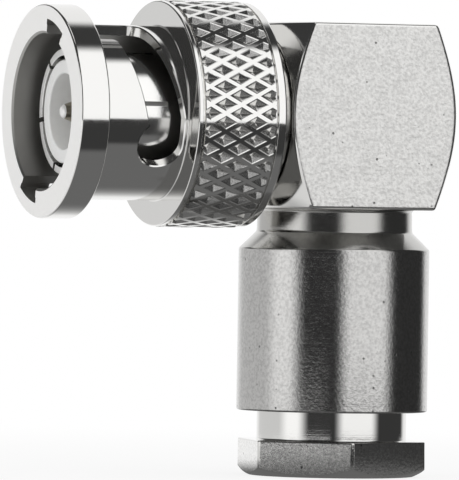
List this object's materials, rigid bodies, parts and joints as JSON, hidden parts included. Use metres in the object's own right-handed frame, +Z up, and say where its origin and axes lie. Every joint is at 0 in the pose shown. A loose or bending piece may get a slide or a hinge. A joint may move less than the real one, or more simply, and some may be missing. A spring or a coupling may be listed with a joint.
{
  "type": "right-angle bayonet coaxial plug",
  "caption": "Right-angle coaxial plug with bayonet coupling nut, square elbow block and clamped cable entry.",
  "frame": {"origin": "on the cable axis at the bottom face of the clamp nut, where the plug stands", "axes": "+Z up along the cable axis, plug axis along -X, flat sides of the block facing +Y and -Y"},
  "size_m": [0.0266, 0.0144, 0.0303],
  "materials": {
    "nickel_plate": "nickel plate, turned",
    "bright_plate": "bright plate",
    "spring_metal": "plain spring sheet",
    "pin_plate": "bright plate",
    "white_ptfe": "matte white fluoroplastic",
    "seal_rubber": "black silicone rubber"
  },
  "bodies": {
    "plug_body": {"block": "nickel_plate", "access_cap": "nickel_plate", "cap_insulator": "white_ptfe", "elbow_insulator": "white_ptfe", "neck_bush": "nickel_plate", "outer_contact": "bright_plate", "front_insulator": "white_ptfe", "centre_pin": "pin_plate", "interface_gasket": "seal_rubber", "wave_washer_front": "spring_metal", "wave_washer_rear": "spring_metal", "entry_sleeve": "nickel_plate"},
    "nut_carrier": {"thrust_washer": "nickel_plate"},
    "coupling_nut": {"coupling_nut": "nickel_plate"},
    "clamp_stack": {"clamp_washer": "nickel_plate", "cable_gasket": "seal_rubber", "braid_clamp": "bright_plate"},
    "clamp_nut": {"clamp_nut": "nickel_plate"}
  },
  "joints": [
    {"name": "nut_slide", "type": "slide", "parent": "plug_body", "child": "nut_carrier", "axis": [-1, 0, 0], "range_m": [0, 0.0005], "stiffness_N_per_m": 3000, "springref_m": -0.0003, "deforming": ["wave_washer_front", "wave_washer_rear"]},
    {"name": "nut_turn", "type": "hinge", "parent": "nut_carrier", "child": "coupling_nut", "pos_m": [-0.0135, 0, 0.0231], "axis": [-1, 0, 0], "continuous": true},
    {"name": "clamp_rise", "type": "slide", "parent": "plug_body", "child": "clamp_stack", "axis": [0, 0, 1], "range_m": [-0.0024, 0.0018]},
    {"name": "clamp_turn", "type": "hinge", "parent": "clamp_stack", "child": "clamp_nut", "pos_m": [0, 0, 0], "axis": [0, 0, 1], "range_deg": [-1152, 864]}
  ],
  "couplings": [
    {"joint": "clamp_rise", "follows": "clamp_turn", "m_per_rad": 0.00011937}
  ]
}
